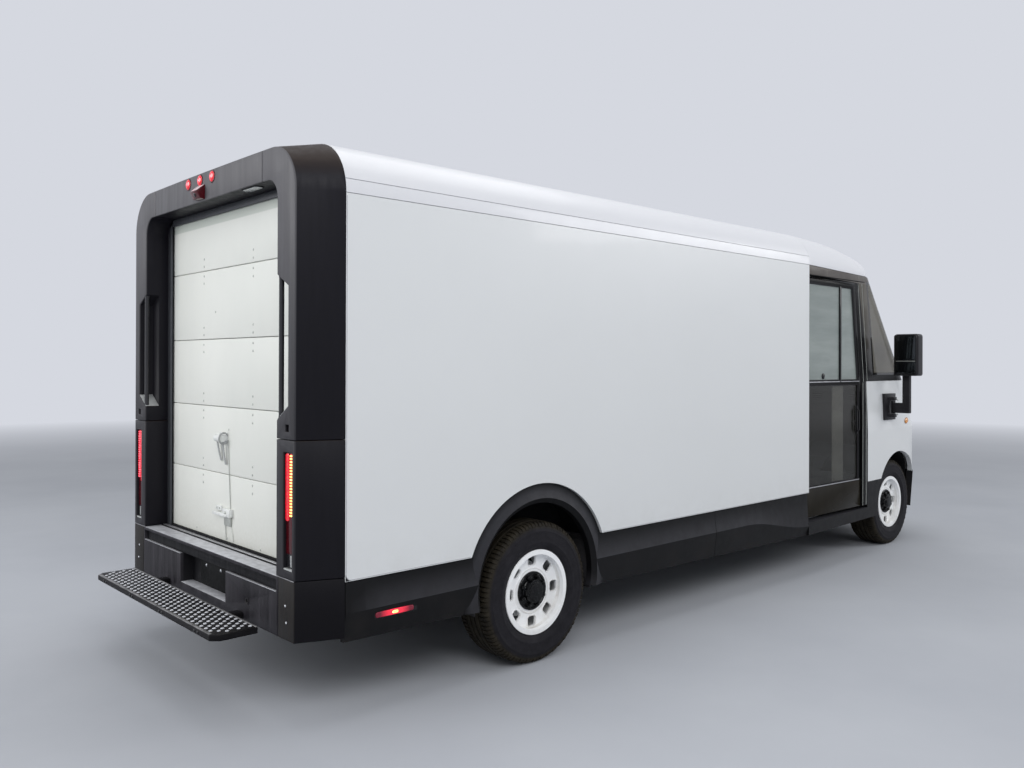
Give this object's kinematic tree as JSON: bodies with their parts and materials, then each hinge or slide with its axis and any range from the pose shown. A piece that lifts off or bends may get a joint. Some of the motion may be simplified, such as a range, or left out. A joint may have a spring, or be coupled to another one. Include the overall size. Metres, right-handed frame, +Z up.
{
  "type": "electric cargo van",
  "caption": "Long-wheelbase electric step-in delivery van with boxy cargo body, black rear portal, roller door, rear step, sliding side doors and steel wheels.",
  "frame": {"origin": "on the ground under the middle of the overall box", "axes": "+X forward, +Y to the vehicle's left, +Z up"},
  "size_m": [7.346, 2.558, 2.7219],
  "materials": {
    "white_paint": "satin",
    "black_plastic": "matte",
    "gloss_black": "gloss",
    "tinted_glass": "gloss",
    "door_white": "satin",
    "red_lens": "gloss",
    "clear_lens": "gloss",
    "step_metal": "matte",
    "bar_metal": "satin",
    "frame_steel": "satin",
    "pack_aluminium": "satin",
    "floor_grey": "satin",
    "interior_grey": "matte",
    "seat_fabric": "matte",
    "wheel_rim_plastic": "matte",
    "tyre_rubber": "matte",
    "wheel_white": "satin"
  },
  "bodies": {
    "body": {"chassis_frame": "frame_steel", "battery_pack": "pack_aluminium", "rear_axle": "frame_steel", "front_suspension": "frame_steel", "cargo_floor": "floor_grey", "cab_floor": "floor_grey", "rear_wheel_tubs": "black_plastic", "front_wheel_tubs": "black_plastic", "side_wall_right": "white_paint", "side_wall_left": "white_paint", "cargo_roof": "white_paint", "cab_roof": "white_paint", "bulkhead": "interior_grey", "rear_portal": "black_plastic", "rear_pillars": "black_plastic", "tail_lamps": "red_lens", "rear_bumper": "black_plastic", "rear_step": "step_metal", "roller_door": "door_white", "grab_handles": "bar_metal", "side_skirt_right": "black_plastic", "side_skirt_left": "black_plastic", "cab_side_right": "gloss_black", "cab_side_left": "gloss_black", "cab_glass": "tinted_glass", "front_fenders": "white_paint", "nose_panel": "white_paint", "headlamps": "clear_lens", "front_bumper": "black_plastic", "dashboard": "interior_grey", "driver_seat": "seat_fabric", "mirror_mounts": "black_plastic"},
    "bulkhead_door": {"bulkhead_door": "interior_grey"},
    "side_door_right": {"side_door_right": "gloss_black", "door_glass_right": "tinted_glass"},
    "side_door_left": {"side_door_left": "gloss_black", "door_glass_left": "tinted_glass"},
    "steering_wheel": {"steering_wheel": "wheel_rim_plastic"},
    "knuckle_right": {"knuckle_right": "frame_steel"},
    "knuckle_left": {"knuckle_left": "frame_steel"},
    "front_wheel_right": {"front_wheel_right": "wheel_white", "front_tyre_right": "tyre_rubber"},
    "front_wheel_left": {"front_wheel_left": "wheel_white", "front_tyre_left": "tyre_rubber"},
    "rear_wheel_right": {"rear_wheel_right": "wheel_white", "rear_tyre_right": "tyre_rubber"},
    "rear_wheel_left": {"rear_wheel_left": "wheel_white", "rear_tyre_left": "tyre_rubber"},
    "mirror_right": {"mirror_right": "black_plastic"},
    "mirror_left": {"mirror_left": "black_plastic"}
  },
  "joints": [
    {"name": "steer_left", "type": "hinge", "parent": "body", "child": "knuckle_left", "pos_m": [2.728, 0.7, 0.3875], "axis": [0, 0, 1], "range_deg": [-33, 33]},
    {"name": "steer_right", "type": "hinge", "parent": "body", "child": "knuckle_right", "pos_m": [2.728, -0.7, 0.3875], "axis": [0, 0, 1], "range_deg": [-33, 33]},
    {"name": "steering_wheel_turn", "type": "hinge", "parent": "body", "child": "steering_wheel", "pos_m": [2.168, 0.45, 1.34], "axis": [-0.766, 0, 0.6428], "range_deg": [-462, 462]},
    {"name": "front_left_spin", "type": "hinge", "parent": "knuckle_left", "child": "front_wheel_left", "pos_m": [2.728, 0.795, 0.3875], "axis": [0, 1, 0], "continuous": true},
    {"name": "front_right_spin", "type": "hinge", "parent": "knuckle_right", "child": "front_wheel_right", "pos_m": [2.728, -0.795, 0.3875], "axis": [0, 1, 0], "continuous": true},
    {"name": "rear_left_spin", "type": "hinge", "parent": "body", "child": "rear_wheel_left", "pos_m": [-1.933, 0.915, 0.3875], "axis": [0, 1, 0], "continuous": true},
    {"name": "rear_right_spin", "type": "hinge", "parent": "body", "child": "rear_wheel_right", "pos_m": [-1.933, -0.915, 0.3875], "axis": [0, 1, 0], "continuous": true},
    {"name": "side_door_left_slide", "type": "slide", "parent": "body", "child": "side_door_left", "axis": [-1, 0, 0], "range_m": [0, 0.78]},
    {"name": "side_door_right_slide", "type": "slide", "parent": "body", "child": "side_door_right", "axis": [-1, 0, 0], "range_m": [0, 0.78]},
    {"name": "bulkhead_door_slide", "type": "slide", "parent": "body", "child": "bulkhead_door", "axis": [0, 1, 0], "range_m": [0, 0.66]},
    {"name": "mirror_left_fold", "type": "hinge", "parent": "body", "child": "mirror_left", "pos_m": [2.488, 1.04, 1.27], "axis": [0, 0, 1], "range_deg": [-45, 45]},
    {"name": "mirror_right_fold", "type": "hinge", "parent": "body", "child": "mirror_right", "pos_m": [2.488, -1.04, 1.27], "axis": [0, 0, -1], "range_deg": [-45, 45]}
  ],
  "couplings": [
    {"joint": "steer_right", "follows": "steer_left", "ratio": 1},
    {"joint": "steering_wheel_turn", "follows": "steer_left", "ratio": 14}
  ]
}
